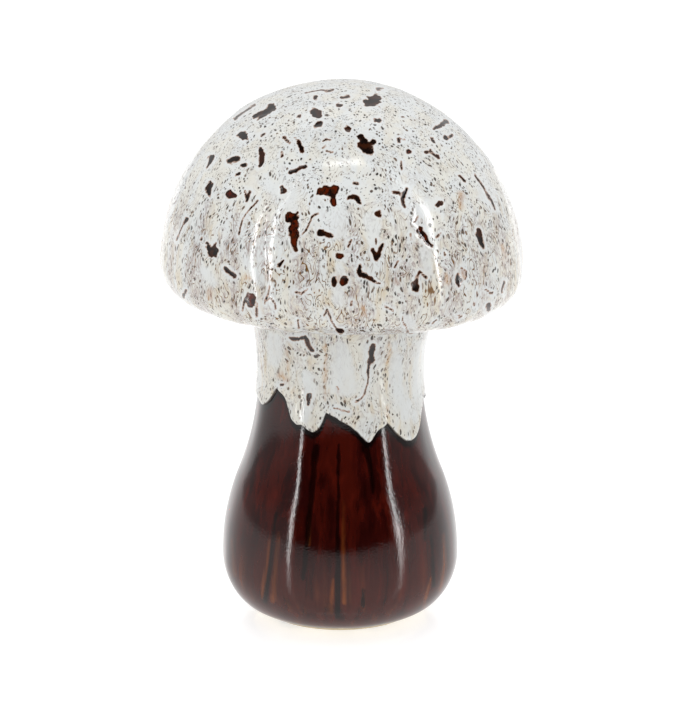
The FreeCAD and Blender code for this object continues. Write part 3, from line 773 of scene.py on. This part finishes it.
def hidden_pools():
    """Upright pools of clean white on the unseen sides of the neck and the cap."""
    rng = np.random.default_rng(SEED + 2)
    pools = []
    for degrees in range(86, 276, HIDDEN_POOL_STEP):
        turn = math.radians(degrees) + rng.normal(0, 0.07) + rng.normal(0, 0.05, 3)
        level = NECK_LEVEL + np.array([rng.uniform(12, 23), 9, -rng.uniform(-4, 9)])
        place = stem_at(level)[0] + BROWN + WHITE
        pools.append((rng.uniform(0.1, 2.6, 2), around(place, turn, level)))
        pitch = np.radians(rng.uniform(-4, 50) + np.array([16, 8, 0]))
        reach = CAP_RADIUS + BROWN + WHITE
        line = around(reach * np.cos(pitch), turn, CAP_LEVEL + reach * np.sin(pitch))
        pools.append((rng.uniform(1.0, 3.0, 2), line))
    return pools


def make_brown_coat(view, material):
    """The brown glaze from its line over the foot up to under the white glaze."""
    turn = column_angles(COLUMNS)
    round_foot = around(FOOT_RADIUS, turn, np.zeros_like(turn))
    line = LINE_LEVEL + layered(round_foot, LINE_WAVES)
    rows = round((BROWN_TOP - LINE_LEVEL) / ROW)
    net = Net()
    for share in np.arange(rows + 1) / rows:
        net.stem_ring(COLUMNS, line + (BROWN_TOP - line) * (1 - share))
    outer = sum(net.counts)
    for over in FOOT_ROLL_ROWS:
        net.stem_ring(COLUMNS, line - (FOOT_ROLL - over))
    rolled = sum(net.counts)
    for share in (0.02, 0.2, 0.4, 0.6, 0.8, 1.0):
        level = LINE_LEVEL + (BROWN_TOP - LINE_LEVEL) * share
        net.stem_ring(INNER_COLUMNS, np.full(INNER_COLUMNS, level))
    net.finish()

    levels = net.clay[:, 2]
    foot = eased(levels, LINE_LEVEL - 0.2, LINE_LEVEL + 2.0)
    height = stem_relief(net.turn, levels) * (0.75 + 0.25 * foot)
    rounding = np.sqrt(1 - (1 - np.array(FOOT_ROLL_ROWS) / FOOT_ROLL) ** 2)
    height[outer:rolled] *= np.repeat(rounding, COLUMNS)
    height[rolled:] = HIDDEN_COAT
    points = net.clay + net.out * height[:, None]
    seen = view.facing(points, net.out) > FACING_LEAST
    seen[rolled:] = False
    pixels = view.pixels(points)
    hidden_dark, hidden_amber = hidden_veins()
    values = {
        "dark_vein": Nearest(DARK_VEINS_PX, pixels, seen, hidden_dark, points).gap,
        "amber_vein": Nearest(AMBER_VEINS_PX, pixels, seen, hidden_amber, points).gap,
        "below": run_edge(net.turn) - levels,
    }
    faces = net.faces(closed=True)
    make_piece("brown_glaze_stem", points, faces, material, ["brown_glaze"], values)


def hidden_veins():
    """Veins of the brown glaze on the sides that the photograph doesn't show."""
    rng = np.random.default_rng(SEED + 1)
    dark, amber = [], []
    for k in range(HIDDEN_VEINS):
        turn = math.radians(88 + 184 * (k + rng.uniform(0.2, 0.8)) / HIDDEN_VEINS)
        high = rng.uniform(25, 70)
        level = np.array([high, high * 0.55, rng.uniform(5, 12)])
        angle = turn + rng.normal(0, 0.03, 3)
        line = around(stem_at(level)[0] + BROWN, angle, level)
        size = rng.uniform(0.4, 1.1)
        (dark if k % 2 else amber).append(((size * 0.4, size), line))
    return dark, amber


# Materials


class Shader:
    """A node tree with short ways to add to it."""

    def __init__(self, owner):
        owner.use_nodes = True
        self.owner = owner
        self.tree = owner.node_tree
        self.tree.nodes.clear()

    def node(self, kind, inputs=None, **settings):
        node = self.tree.nodes.new(kind)
        for key, value in settings.items():
            setattr(node, key, value)
        for key, value in (inputs or {}).items():
            self.feed(node.inputs[key], value)
        return node

    def feed(self, socket, value):
        """Link a socket, or set its value, where a text is a hex colour."""
        if isinstance(value, bpy.types.NodeSocket):
            self.tree.links.new(value, socket)
        else:
            socket.default_value = paint(value) if isinstance(value, str) else value

    def math(self, operation, *values):
        node = self.node("ShaderNodeMath", dict(enumerate(values)), operation=operation)
        return node.outputs[0]

    def noise(self, vector, scale, detail=2, roughness=0.5, output="Fac"):
        inputs = {"Vector": vector, "Scale": scale, "Detail": detail, "Roughness": roughness}
        return self.node("ShaderNodeTexNoise", inputs).outputs[output]

    def ramp(self, value, low, high, start=0, end=1):
        """From start at low to end at high, smoothly, whichever of low and high is greater."""
        inputs = {0: value, 1: low, 2: high, 3: start, 4: end}
        node = self.node("ShaderNodeMapRange", inputs, interpolation_type="SMOOTHSTEP")
        return node.outputs[0]

    def scaled(self, share, start, end):
        """A share from 0 to 1, turned smoothly into start to end."""
        return self.ramp(share, 0, 1, start, end)

    def mix(self, share, first, second):
        inputs = {0: share, 6: first, 7: second}
        return self.node("ShaderNodeMix", inputs, data_type="RGBA").outputs[2]

    def shades(self, value, low, high, first, second):
        return self.mix(self.ramp(value, low, high), first, second)

    def scaled_place(self, vector, scale):
        return self.node("ShaderNodeMapping", {"Vector": vector, "Scale": scale}).outputs[0]

    def upright(self, vector, squash):
        """Places that draw a pattern out upwards, the more the smaller the number."""
        return self.scaled_place(vector, (1, 1, squash))

    def plus(self, first, second):
        return self.math("ADD", first, second)

    def times(self, first, *others):
        for other in others:
            first = self.math("MULTIPLY", first, other)
        return first

    def most(self, first, *others):
        for other in others:
            first = self.math("MAXIMUM", first, other)
        return first

    def centred(self, noise, reach):
        """Noise about 0 instead of about 0.5, times a reach."""
        return self.times(self.math("SUBTRACT", noise, 0.5), reach)

    def swirled(self, vector, scale, reach):
        """The vector pushed about by smooth noise."""
        inputs = {0: self.noise(vector, scale, output="Color"), 1: (reach, reach, reach), 2: vector}
        return self.node("ShaderNodeVectorMath", inputs, operation="MULTIPLY_ADD").outputs[0]

    def value(self, name):
        return self.node("ShaderNodeAttribute", attribute_name=name).outputs["Fac"]

    def millimetres(self):
        place = self.node("ShaderNodeTexCoord").outputs["Object"]
        return self.scaled_place(place, (1 / MM, 1 / MM, 1 / MM))

    def height(self, place):
        return self.node("ShaderNodeSeparateXYZ", {0: place}).outputs["Z"]

    def bump(self, strength, distance, height):
        inputs = {"Strength": strength, "Distance": distance, "Height": height}
        return self.node("ShaderNodeBump", inputs).outputs[0]

    def surface(self, inputs):
        """The surface with those inputs, and so the whole material."""
        shader = self.node("ShaderNodeBsdfPrincipled", inputs)
        self.node("ShaderNodeOutputMaterial", {"Surface": shader.outputs[0]})
        return self.owner


def new_material(name):
    return Shader(bpy.data.materials.new(name))


def specks(s, vector, scale, least, most):
    """Specks of mixed size, 1 inside."""
    cells = s.node("ShaderNodeTexVoronoi", {"Vector": vector, "Scale": scale})
    size = s.node("ShaderNodeSeparateColor", {0: cells.outputs["Color"]}).outputs[0]
    radius = s.ramp(size, 0, 1, least, most)
    gap = s.math("SUBTRACT", cells.outputs["Distance"], radius)
    return s.ramp(gap, 0.055, -0.055)


def make_white_material():
    """Off-white reactive glaze: specks, fine amber lines, and openings of dark brown glass."""
    s = new_material("white_glaze")
    place = s.millimetres()
    height = s.height(place)
    warped = s.swirled(place, 0.09, 7)
    flow = s.upright(warped, 0.45)
    bands = s.upright(warped, 0.14)
    low = s.ramp(height, CAP_LEVEL + 42, CAP_LEVEL + 12)
    neck = s.ramp(height, NECK_LEVEL + 30, NECK_LEVEL + 22)
    # Painted shade: the glaze's colours deepen from about halfway down the cap over the rim and the
    # underside and down the neck
    rim = s.ramp(height, CAP_LEVEL + 36, CAP_LEVEL - 1)
    groove = s.value("groove")

    # Broad tones: cream and cool white, with painted shade making them deeper towards the rim,
    # under the cap and down the neck, and tan in upright bands
    tone = s.noise(bands, 0.13, 3, 0.55)
    colour = s.shades(tone, 0.4, 0.6, "DBDAD3", "D8DBDB")
    colour = s.mix(rim, colour, s.shades(tone, 0.4, 0.6, "CDCBC2", "CACCCA"))
    tan = s.noise(s.upright(warped, 0.2), 0.3, 4, 0.65)
    tan = s.times(s.ramp(tan, 0.48, 0.7), s.scaled(low, 0.15, 0.52))
    colour = s.mix(tan, colour, "BCA67E")

    # Pinkish grey, mottled in patches and smeared along the grooves between the runs
    mottle = s.ramp(s.noise(flow, 1, 3, 0.7), 0.44, 0.66)
    patch = s.plus(s.noise(bands, 0.17, 3, 0.6), s.times(neck, 0.1))
    mottle = s.times(mottle, s.ramp(patch, 0.44, 0.61), s.scaled(low, 0.25, 1))
    mottle = s.times(mottle, s.ramp(height, NECK_LEVEL + 2, NECK_LEVEL + 18, 0.25, 1))
    smear = s.noise(s.upright(warped, 0.4), 1.5, 3, 0.65)
    smear = s.times(s.ramp(smear, 0.44, 0.6), s.ramp(groove, 0.1, 0.7, 0, 0.9))
    colour = s.mix(s.most(mottle, smear), colour, "A09491")

    # Fine brown contour lines, in patches
    contour = s.noise(s.upright(warped, 0.3), 0.17, 2, 0.5)
    line = s.ramp(s.math("PINGPONG", s.times(contour, 13), 0.5), 0.12, 0.03)
    patch = s.ramp(s.noise(warped, 0.12), 0.43, 0.56)
    patch = s.times(patch, s.scaled(low, 0.35, 1), s.scaled(neck, 1, 0.35))
    colour = s.mix(s.times(line, patch), colour, "6E4E2A")

    # Specks, crowded in clusters and sparse between, on clean glaze near openings and pools
    cluster = s.plus(s.noise(warped, 0.1, 3, 0.6), s.times(groove, 0.1))
    many = s.times(specks(s, flow, 0.92, 0.06, 0.38), s.ramp(cluster, 0.38, 0.5))
    small = s.times(specks(s, flow, 1.6, 0, 0.38), s.ramp(cluster, 0.6, 0.46), 0.75)
    few = specks(s, s.upright(warped, 0.5), 0.42, -0.1, 0.22)
    blotch = s.value("blotch")
    pool = s.ramp(s.plus(s.value("pool"), s.times(cluster, 5)), 1.4, 4.2, 0.12, 1)
    speck = s.times(s.most(many, small, few), s.ramp(blotch, 0.3, 1.3), pool)
    dark_speck = s.shades(s.noise(place, 0.5), 0.42, 0.66, "241B17", "66503F")
    near = s.most(s.ramp(blotch, 2.2, 0.3, 0, 0.8), s.ramp(pool, 1, 0, 0, 0.75))
    # Clean glaze takes the same painted shade towards the rim, under the cap and down the neck
    clean = s.mix(near, colour, s.mix(rim, "D8DBDB", "CBCECE"))
    colour = s.mix(s.times(speck, 0.94), clean, dark_speck)

    # Soft stains, amber or pink, broken by fine grain
    frayed = s.centred(s.noise(flow, 0.7, 4, 0.7), 4.5)
    stain = s.ramp(s.plus(s.value("stain"), frayed), 0.9, -1.4, 0, 0.62)
    stain_colour = s.shades(s.noise(place, 0.09), 0.42, 0.58, "B0834A", "9C7C6C")
    colour = s.mix(stain, colour, stain_colour)

    # Openings: an amber line round dark glass, red-brown where it is thin
    coarse = s.centred(s.noise(place, 0.42, 1), s.times(s.value("size"), 1.7))
    fine = s.centred(s.noise(place, 1.1, 3, 0.6), 0.75)
    gap = s.plus(s.plus(blotch, 0.2), s.plus(coarse, fine))
    colour = s.mix(s.times(s.ramp(gap, 0.48, 0.2), 0.7), colour, "8C5412")
    thin = s.times(s.value("rust"), s.ramp(gap, -0.15, -0.7))
    thin = s.times(thin, s.ramp(s.noise(place, 0.35), 0.34, 0.5))
    glass = s.shades(s.noise(place, 0.3), 0.46, 0.6, "140B08", "34180A")
    colour = s.mix(s.ramp(gap, 0.24, 0.04), colour, s.mix(thin, glass, "501804"))

    # The brown shows through the thin lower edge
    lip = s.ramp(s.value("edge"), 0.55, 0.15)
    colour = s.mix(s.times(lip, 0.9), colour, "2A1A14")

    grain = s.times(s.noise(place, 1.6), 0.5)
    normal = s.bump(0.1, 0.0003, s.math("SUBTRACT", grain, speck))
    return s.surface({
        "Base Color": colour,
        "Roughness": 0.11,
        "IOR": 1.5,
        "Specular IOR Level": 0.42,
        "Coat Weight": 0.15,
        "Coat Roughness": 0.03,
        "Normal": normal,
        "Coat Normal": normal,
    })


def make_brown_material():
    """Glossy dark red-brown glaze, streaked downwards, black under the runs of the white."""
    s = new_material("brown_glaze")
    place = s.millimetres()
    height = s.height(place)
    warped = s.swirled(place, 0.05, 3)
    streaks = s.upright(warped, 0.05)
    fine = s.noise(streaks, 0.3)
    low = s.ramp(height, BASE + 38, BASE + 12)
    colour = s.shades(s.noise(streaks, 0.11, 3, 0.55), 0.36, 0.64, "220403", "380A04")
    colour = s.mix(s.times(low, 0.7), colour, "421811")
    colour = s.mix(s.ramp(fine, 0.5, 0.74, 0, 0.4), colour, "541409")
    colour = s.mix(s.ramp(fine, 0.48, 0.26, 0, 0.6), colour, "120101")
    thin = s.times(s.ramp(s.noise(streaks, 0.24), 0.52, 0.76), low, 0.4)
    colour = s.mix(thin, colour, "6E3716")

    # Veins, amber ones fading upwards
    wobble = s.centred(s.noise(s.upright(warped, 0.15), 0.7, 3), 1.8)
    strength = s.ramp(s.noise(streaks, 0.3), 0.35, 0.6, 0.3, 0.72)
    amber = s.ramp(s.plus(s.value("amber_vein"), wobble), 0.9, -0.7)
    amber = s.times(amber, s.ramp(height, BASE + 56, BASE + 22, 0.1, 1), strength)
    colour = s.mix(amber, colour, "7C4118")
    dark = s.ramp(s.plus(s.value("dark_vein"), wobble), 0.7, -0.4, 0, 0.85)
    colour = s.mix(dark, colour, "080101")

    # Black along the white glaze's edge, and paler where it thins out over the foot
    ragged = s.centred(s.noise(place, 0.5, 3), 1.8)
    edge = s.ramp(s.plus(s.value("below"), ragged), 3, 1.4, 0, 0.95)
    colour = s.mix(edge, colour, "070303")
    foot = s.ramp(height, LINE_LEVEL + 0.2, LINE_LEVEL - 1, 0, 0.6)
    colour = s.mix(foot, colour, "4A2412")
    return s.surface({
        "Base Color": colour,
        "Roughness": 0.09,
        "IOR": 1.5,
        "Specular IOR Level": 0.36,
        "Normal": s.bump(0.1, 0.0003, s.noise(place, 1.3)),
    })


def make_clay_material():
    """Matt cream clay with fine grain and a little staining."""
    s = new_material("bare_clay")
    place = s.millimetres()
    grain = s.noise(place, 2.2, 4, 0.65)
    colour = s.shades(s.noise(place, 0.16, 3), 0.35, 0.65, "CDC0A4", "BAAA8A")
    colour = s.mix(s.ramp(grain, 0.6, 0.72, 0, 0.5), colour, "8C7654")
    rough = s.ramp(grain, 0.3, 0.7, 0.72, 0.88)
    normal = s.bump(0.35, 0.0002, grain)
    return s.surface({"Base Color": colour, "Roughness": rough, "Normal": normal})


def make_pad_material():
    """Matt black foam rubber, finely pitted."""
    s = new_material("pad")
    place = s.millimetres()
    pits = s.node("ShaderNodeTexVoronoi", {"Vector": place, "Scale": 3.2}).outputs["Distance"]
    colour = s.shades(s.noise(place, 0.9, 3), 0.45, 0.7, "141414", "2B2A28")
    rough = s.ramp(pits, 0, 0.6, 0.7, 0.9)
    normal = s.bump(0.4, 0.0002, pits)
    return s.surface({"Base Color": colour, "Roughness": rough, "Normal": normal})


# Surroundings


def make_floor():
    """A plain pale table top, smooth and faintly glowing."""
    mesh = bpy.data.meshes.new("floor")
    half = FLOOR_HALF_WIDTH
    corners = [(-half, -half, 0), (half, -half, 0), (half, half, 0), (-half, half, 0)]
    mesh.from_pydata(corners, [], [(0, 1, 2, 3)])
    s = new_material("floor")
    cloud = s.noise(s.node("ShaderNodeTexCoord").outputs["Object"], 3)
    material = s.surface({
        "Base Color": s.shades(cloud, 0.3, 0.7, "D2D2D2", "D0D0D0"),
        "Roughness": 0.12,
        "Emission Color": (1, 1, 1, 1),
        "Emission Strength": FLOOR_GLOW,
    })
    mesh.materials.append(material)
    floor = new_object("floor", mesh)


def mirrored_room(s, x, y, z):
    """How bright the mirrored room is, and the level of each way in degrees."""
    front = s.times(y, -1)
    azimuth = s.math("DEGREES", s.math("ARCTAN2", x, front))
    level = s.math("DEGREES", s.math("ARCSINE", z))
    pitch = s.math("DEGREES", s.math("ARCTAN2", z, front))

    def band(value, limits, soft):
        low, high = limits
        rise = s.ramp(value, low - soft, low + soft)
        return s.times(rise, s.ramp(value, high + soft, high - soft))

    # Walls and ceiling: dimmer upwards, paler at the back and overhead
    behind = s.ramp(s.math("ABSOLUTE", azimuth), 105, 150)
    walls = s.scaled(behind, s.ramp(level, 4, 16, 0.5, 0.3), 0.78)
    overhead = s.times(s.ramp(pitch, 100, 122), s.ramp(level, 45, 70))
    room = s.plus(walls, s.times(overhead, 0.7))

    # The dark window in front, its bright edges and the bright bar over it
    window = s.times(band(azimuth, WINDOW_AZIMUTHS, 1.5), band(level, WINDOW_LEVELS, 2))
    ceiling = s.times(band(pitch, CEILING_PITCHES, 8), s.ramp(level, 55, 66))
    room = s.times(room, s.scaled(s.most(window, ceiling), 1, 0.02))
    brightness = s.ramp(level, 25, 45, 38, 9)
    for azimuths in STRIP_AZIMUTHS:
        strip = s.times(band(azimuth, azimuths, 0.7), band(level, STRIP_LEVELS, 3))
        room = s.plus(room, s.times(strip, brightness))
    bar = s.times(band(level, BAR_LEVELS, 1.5), band(azimuth, BAR_AZIMUTHS, 5))
    return s.plus(room, s.times(bar, 8)), level


def make_world():
    """Soft white light all round, which the glaze mirrors as a bright room with a dark window."""
    world = bpy.data.worlds.new("studio")
    bpy.context.scene.world = world
    world.cycles.sampling_method = "NONE"
    s = Shader(world)
    way = s.node("ShaderNodeSeparateXYZ", {0: s.node("ShaderNodeTexCoord").outputs["Generated"]})
    mirrored, level = mirrored_room(s, *way.outputs)
    soft = s.ramp(level, -30, 80, 1.13, 1.18)
    glossy = s.node("ShaderNodeLightPath").outputs["Is Glossy Ray"]
    strength = s.node("ShaderNodeMix", {0: glossy, 2: soft, 3: mirrored}).outputs[0]
    background = s.node("ShaderNodeBackground", {"Color": (1, 1, 1, 1), "Strength": strength})
    s.node("ShaderNodeOutputWorld", {"Surface": background.outputs[0]})
    bpy.context.scene.view_settings.view_transform = "Standard"


def dress_solids(clay, pad):
    """The solids that stay in sight or under the glaze get their finish."""
    finishes = {"stem_body": clay, "cap_body": clay, "luting_seam": clay}
    for name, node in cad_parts.items():
        material = finishes.get(name, pad if name.startswith("foot_pad") else None)
        if material is None:
            continue
        node.data.materials.clear()
        node.data.materials.append(material)


def main():
    view = View()
    view.make_camera()
    make_world()
    make_floor()
    make_white_coat(view, make_white_material())
    make_brown_coat(view, make_brown_material())
    dress_solids(make_clay_material(), make_pad_material())


main()
